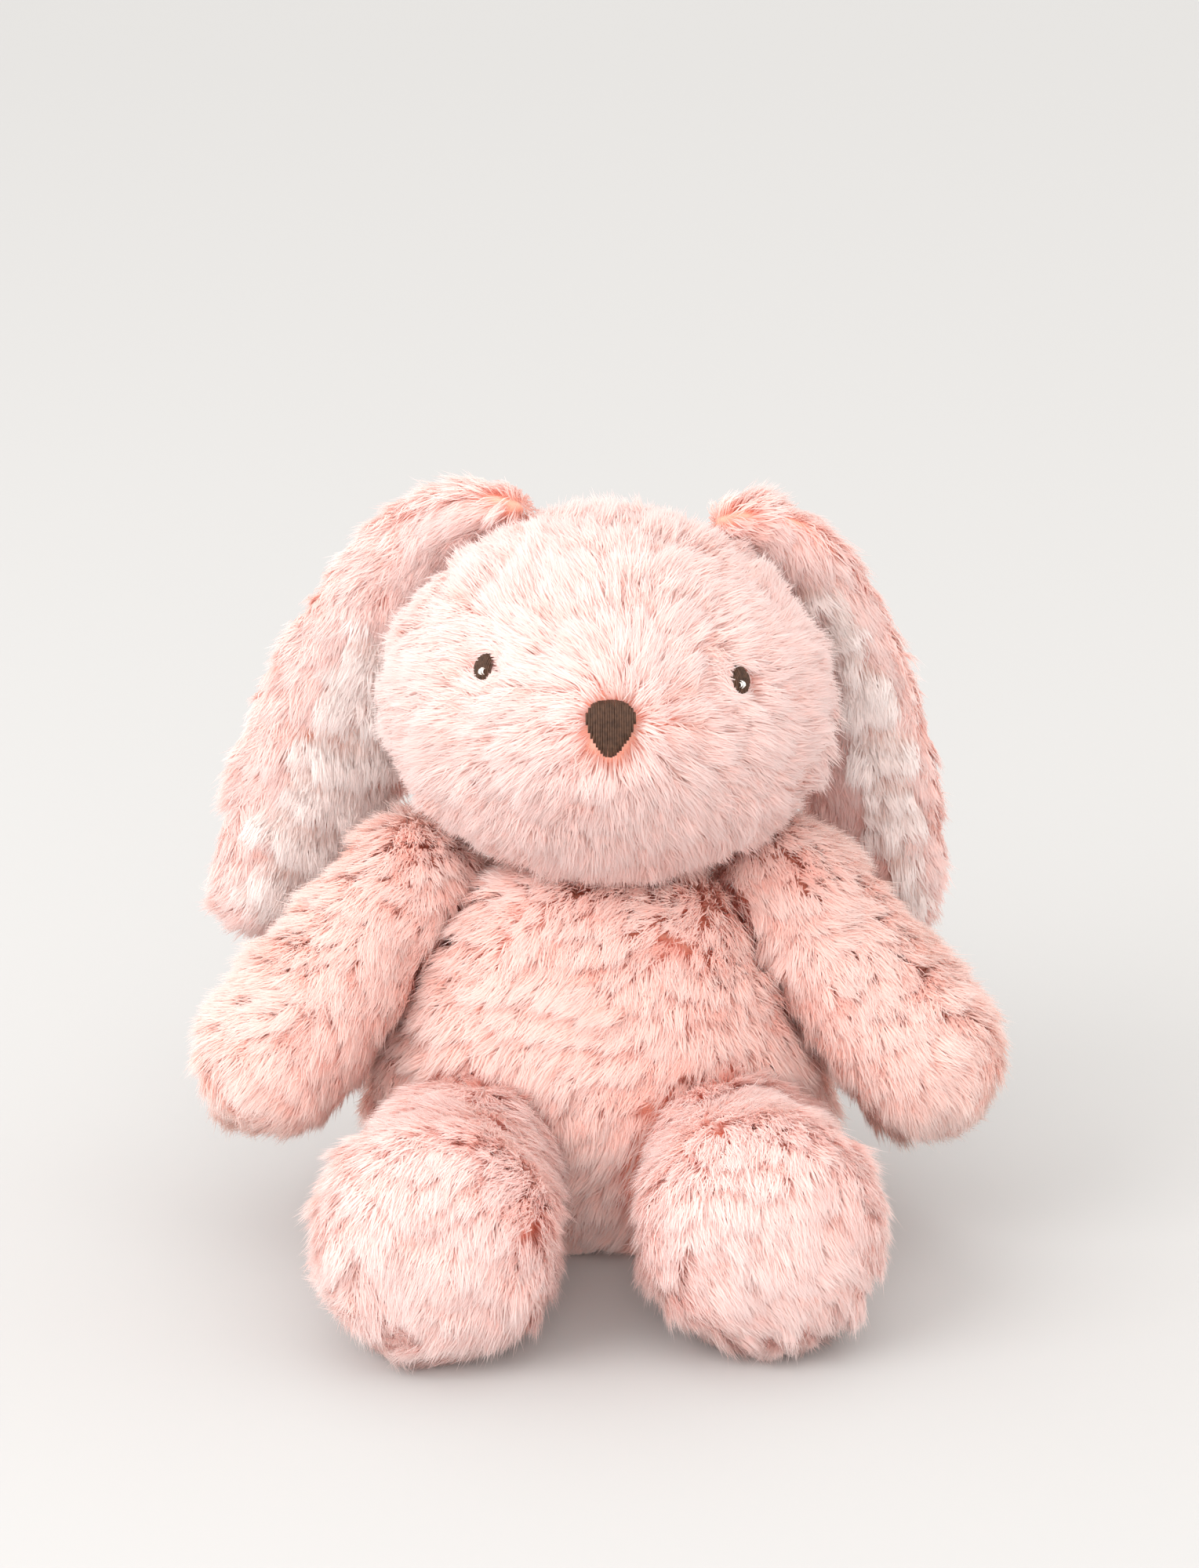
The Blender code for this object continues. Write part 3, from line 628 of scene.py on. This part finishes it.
def ear_route(side):
    """Points down the middle of an ear, from its root to its tip, read from its outer panel."""
    joint = next(j for j in frame["joints"] if j["name"] == f"{side}_ear_lift")
    root = np.array(joint["pos_m"])
    points = arrays(frame["nodes"][f"{side}_ear_outer_panel"].data)[0]
    tip = points[points[:, 2] < points[:, 2].min() + 0.006].mean(axis=0)
    down = (points - root) @ unit(tip - root)
    marks = np.linspace(down.min() + 0.006, down.max() - 0.004, 14)
    middles = np.stack([points[np.abs(down - mark) < 0.008].mean(axis=0) for mark in marks])
    places = np.linspace(marks[0], marks[-1], 60)
    return np.stack([np.polyval(np.polyfit(marks, column, 3), places) for column in middles.T], axis=1)


def along_route(route):
    """The comb and row functions of fur that follows a route."""
    steps = np.linalg.norm(np.diff(route, axis=0), axis=1)
    ways = unit(np.gradient(route, axis=0))
    lengths = np.concatenate([[0.0], np.cumsum(steps)])

    def comb(p, n):
        at = nearest_index(p, route)
        out = p - route[at]
        out -= (out * ways[at]).sum(axis=1, keepdims=True) * ways[at]
        return ways[at] + 0.35 * out / 0.020

    def row(p):
        at = nearest_index(p, route)
        return lengths[at] + ((p - route[at]) * ways[at]).sum(axis=1)

    return comb, row


def rolled_edge(side, sign, route):
    """Where the pink back of an ear rolls round onto its front, beside the white lining."""
    _, row = along_route(route)
    ways = unit(np.gradient(route, axis=0))
    outwards = sign * np.stack([-ways[:, 2], 0 * ways[:, 0], ways[:, 0]], axis=1)
    total = np.linalg.norm(np.diff(route, axis=0), axis=1).sum()
    points = arrays(frame["nodes"][f"{side}_ear_outer_panel"].data)[0]
    nearby = nearest_index(points, route)
    offsets = ((points - route[nearby]) * outwards[nearby]).sum(axis=1)
    half = np.array([offsets[np.abs(nearby - k) < 6].max(initial=0.008) for k in range(len(route))])

    def pink(p):
        at = nearest_index(p, route)
        across = ((p - route[at]) * outwards[at]).sum(axis=1) + 1.5 * MM * wave_noise(5, 0.012)(p)
        down = row(p)
        ends = (down < LINING_START[side]) | (down > total - LINING_END)
        return (across > half[at] - EDGE_BAND[side]) | (across < LINING_INNER[side]) | ends

    return pink


# ---------------------------------------------------------------- face


def flat_frame(node):
    """Middle, way across, way up and way out of a flat embroidered piece."""
    points = arrays(frame["nodes"][node].data)[0]
    middle = (points.min(axis=0) + points.max(axis=0)) / 2
    spread = points - points.mean(axis=0)
    out = np.linalg.svd(spread, full_matrices=False)[2][2]
    out = out * -np.sign(out[1])
    up = unit(np.array((0.0, 0.0, 1.0)) - out[2] * out)
    across = np.cross(up, out) * -1
    flat = np.stack([(points - middle) @ across, (points - middle) @ up], axis=1)
    return middle, across, up, out, flat


def span_at(flat, x):
    """Lowest and highest point of a convex outline at x."""
    ordered = sorted(map(tuple, flat))

    def chain(points):
        kept = []
        for p in points:
            while len(kept) > 1 and cross(kept[-2], kept[-1], p) <= 0:
                kept.pop()
            kept.append(p)
        return kept

    def cross(a, b, c):
        return (b[0] - a[0]) * (c[1] - a[1]) - (b[1] - a[1]) * (c[0] - a[0])

    low = chain(ordered)
    high = chain(ordered[::-1])[::-1]
    return np.interp(x, *zip(*low)), np.interp(x, *zip(*high))


def satin(name, node, look, body, pitch, rise, seed, sides=7, steps=12):
    """Satin stitches: threads laid side by side over a padded shape."""
    middle, across, up, out, flat = flat_frame(node)
    rng = np.random.default_rng(seed)
    half = np.abs(flat[:, 0]).max()
    count = max(int(2 * half / pitch), 3)
    bm = bmesh.new()
    for k in range(count):
        x = -half + (k + 0.5) * 2 * half / count
        low, high = span_at(flat, x)
        low, high = low - rng.uniform(-0.1, 0.25) * MM, high + rng.uniform(-0.1, 0.25) * MM
        lean = rng.uniform(-0.12, 0.12) * MM
        radius = pitch * rng.uniform(0.55, 0.66)
        crown = math.sqrt(max(1 - (x / half) ** 2, 0.0)) ** 0.6
        rings = []
        for s in range(steps):
            share = s / (steps - 1)
            z = low + (high - low) * share
            y = rise * crown * math.sin(math.pi * share) ** 0.5 - (0.9 * MM if s in (0, steps - 1) else 0.0)
            centre = middle + across * (x + lean * (2 * share - 1)) + up * z + out * y
            ring = []
            for q in range(sides):
                turn = 2 * math.pi * q / sides
                ring.append(bm.verts.new(centre + radius * (across * math.cos(turn) + out * math.sin(turn))))
            rings.append(ring)
        for one, two in zip(rings, rings[1:]):
            for q in range(sides):
                bm.faces.new((one[q], one[(q + 1) % sides], two[(q + 1) % sides], two[q]))
        bm.faces.new(rings[0][::-1])
        bm.faces.new(rings[-1])
    bmesh.ops.recalc_face_normals(bm, faces=bm.faces)
    mesh = bpy.data.meshes.new(name)
    bm.to_mesh(mesh)
    bm.free()
    mesh.shade_smooth()
    made = link(name, mesh, look)
    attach(made, body)
    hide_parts(node)
    return made


def part_round(node, room, depth=0.012):
    """A parting that leaves an embroidered piece clear of fur, pushed to its outline."""
    middle, across, up, out, flat = flat_frame(node)
    half = np.abs(flat).max(axis=0) + room

    def parting(root, bend, tip, kept):
        def local(p):
            d = p - middle
            return d @ across / half[0], d @ up / half[1], d @ out

        x, z, y = local(root)
        kept = kept & ~((np.hypot(x, z) < BARE_SHARE) & (np.abs(y) < depth))
        moved = []
        for points, least in ((bend, 1.0), (tip, 0.97)):
            x, z, y = local(points)
            reach = np.maximum(np.hypot(x, z), 1e-3)
            push = np.where((reach < least) & (np.abs(y) < depth), least / reach - 1, 0.0)[:, None]
            shift = (x * half[0])[:, None] * across + (z * half[1])[:, None] * up
            dish = DISH_FLOOR + DISH_SLOPE * (np.maximum(reach, 1.0) - 1)
            over = np.where((reach < DISH_REACH) & (np.abs(y) < depth), np.minimum(dish - y, 0.0), 0.0)
            moved.append(points + shift * push + over[:, None] * out)
        return root, moved[0], moved[1], kept

    return parting


# ---------------------------------------------------------------- parts


def furred(body, name, panels, fillings, looks, grooms, inset=SKIN_INSET, partings=(),
           near_bodies=(), skin_look=None, voxel=0.0019, rounds=22, bridged=False,
           under=(), first_where=None):
    """A stuffed part: one skin for its stuffing, and a coat of fur for each panel.

    A wisp belongs to the panel nearest to it, or to the first panel wherever first_where says so.
    """
    mesh = make_skin(f"{name}_skin", [*panels, *fillings, *under], inset, voxel, rounds, bridged)
    skin = link(f"{name}_skin", mesh, skin_look)
    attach(skin, body)
    if fillings:
        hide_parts(*fillings)
    keep_out = [(cad_tree(nodes), SEAM_REACH) for nodes in near_bodies]
    trees = [cad_tree([panel]) for panel in panels]
    done = {}
    for panel, look, groom in zip(panels, looks, grooms):
        if id(groom) not in done:
            wisps = grow_wisps(mesh, groom, keep_out)
            gaps = np.array([[tree.find_nearest(p)[3] for tree in trees] for p in wisps[0]])
            owner = gaps.argmin(axis=1)
            if first_where:
                owner[first_where(wisps[0])] = 0
            done[id(groom)] = wisps, owner
        wisps, owner = done[id(groom)]
        mine = owner == panels.index(panel)
        strands = grow_strands([w[mine] for w in wisps], groom, partings)
        pile = link(f"{panel}_pile", fur_mesh(f"{panel}_pile", strands, groom.seed + 5), look)
        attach(pile, body)
        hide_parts(panel)


def of_body(word):
    return [n for n in frame["nodes"] if word in n]


def carry_over(node, look):
    """A CAD solid that shows as it is, in its own cloth or thread."""
    materials = frame["nodes"][node].data.materials
    materials.clear()
    materials.append(look)


def build():
    pink = fur_look("pink_pile", (0.95, 0.51, 0.40), (0.99, 0.81, 0.76), (1.0, 0.930, 0.908),
                    (1.0, 0.98, 0.97), (1.0, 0.85, 0.80))
    pale = fur_look("pale_pile", (0.95, 0.60, 0.50), (0.99, 0.845, 0.81), (1.0, 0.926, 0.912),
                    (1.0, 0.985, 0.98), (1.0, 0.88, 0.855))
    white = fur_look("white_pile", (0.96, 0.72, 0.64), (0.995, 0.955, 0.94), (1.0, 0.987, 0.982),
                     (1.0, 0.99, 0.985), (1.0, 0.94, 0.925))
    backing = backing_look("salmon_backing", (0.93, 0.50, 0.39), (0.88, 0.42, 0.31))
    brown = thread_look("brown_thread", (0.098, 0.046, 0.026), (0.038, 0.017, 0.009))
    cream = thread_look("cream_thread", (0.90, 0.88, 0.84), (0.75, 0.72, 0.68))
    rose = thread_look("rose_thread", (0.86, 0.50, 0.43), (0.70, 0.34, 0.27))

    torso_panels = ["torso_front_panel", "torso_back_left_panel", "torso_back_right_panel"]
    head_panels = ["head_left_panel", "head_right_panel", "head_gusset_panel"]
    limbs = {(s, part): [n for n in of_body(f"{s}_{part}_") if n.endswith("panel")]
             for s, _ in SIDES for part in ("arm", "leg")}
    near_torso = [limbs[s, part] for s, _ in SIDES for part in ("arm", "leg")]

    body_groom = Groom(down_and(-0.45), height, 11, lift=0.40, pitch=0.0095, ridge=0.75, parted=0.5,
                       fleck=(1.0, 1.0, 3.0), crest=0.45)
    furred("torso", "torso", torso_panels, ["torso_stuffing"], [pink] * 3, [body_groom] * 3,
           near_bodies=near_torso, skin_look=backing, inset=0.0030, bridged=True)
    wad = link("neck_wad", make_skin("neck_wad", ["neck_stuffing"], 0.006), backing)
    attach(wad, "neck")
    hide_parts("neck_stuffing")

    nose = centre_of("nose_embroidery")
    head_groom = Groom(away_from(nose, 0.12), rings_round(nose), 23, lift=0.48, ridge=0.6,
                       tuft=(0.0062, 0.0042), length=0.0112, parted=0.7)
    partings = [part_round("nose_embroidery", -0.8 * MM)]
    partings += [part_round(f"{side}_eye_embroidery", 1.1 * MM) for side, _ in SIDES]
    furred("head", "head", head_panels, ["head_stuffing"], [pale] * 3, [head_groom] * 3,
           partings=partings, under=["neck_stuffing"], skin_look=backing,
           inset=0.0036)
    satin("nose_stitches", "nose_embroidery", brown, "head", 0.62 * MM, 1.5 * MM, 3)

    for side, sign in SIDES:
        satin(f"{side}_eye_stitches", f"{side}_eye_embroidery", brown, "head", 0.5 * MM, 1.3 * MM, 4 + sign)
        satin(f"{side}_glint_stitches", f"{side}_eye_glint", cream, "head", 0.4 * MM, 1.3 * MM, 8 + sign,
              steps=6)
        route = ear_route(side)
        comb, row = along_route(route)
        outer = Groom(comb, row, 40 + sign, lift=0.34, ridge=0.4)
        ridged = Groom(comb, row, 44 + sign, lift=0.44, pitch=0.0145, ridge=1.6, tuft=(0.0085, 0.0040),
                       warp=0.0022, swirl=0.12, length=0.0100, parted=1.6, ruffle=0.0042)
        furred(f"{side}_ear", f"{side}_ear", [f"{side}_ear_outer_panel", f"{side}_ear_lining_panel"], [],
               [pale, white], [outer, ridged], inset=0.0014, skin_look=backing,
               voxel=0.0016, rounds=4, first_where=rolled_edge(side, sign, route))
        arm_groom = Groom(down_and(sign * 0.55, -0.35), height, 60 + sign, lift=0.40, length=0.0106,
                          parted=0.8, dense=1.35, crest=0.5)
        furred(f"{side}_arm", f"{side}_arm", limbs[side, "arm"], [f"{side}_arm_stuffing"], [pink] * 2,
               [arm_groom] * 2, near_bodies=[torso_panels], skin_look=backing, inset=0.0030)
        leg_groom = Groom(down_and(sign * 0.35, -0.5), height, 80 + sign, lift=0.40, ridge=0.6, swirl=0.28,
                          tuft=(0.0075, 0.0045), length=0.0110, parted=0.8, dense=1.3)
        furred(f"{side}_leg", f"{side}_leg", limbs[side, "leg"], [f"{side}_leg_stuffing"], [pale] * 3,
               [leg_groom] * 3, near_bodies=[torso_panels], skin_look=backing,
               inset=0.0028)

    tail_groom = Groom(away_from(centre_of("tail_panel") + (0.0, 0.02, 0.005), 0.3), height, 95, lift=0.55,
                       ridge=0.2)
    furred("torso", "tail", ["tail_panel"], ["tail_stuffing"], [white], [tail_groom], skin_look=backing)

    ribbon = cloth_look("label_ribbon", (0.90, 0.90, 0.88), (0.84, 0.84, 0.82), 2400.0)
    bag = cloth_look("bean_bag_cloth", (0.82, 0.82, 0.79), (0.74, 0.74, 0.71), 1100.0)
    carry_over("care_label", ribbon)
    carry_over("bean_bag", bag)
    carry_over("neck_seam", rose)
    carry_over("closing_seam", rose)


make_camera()
make_floor(floor_look())
make_light()
build()
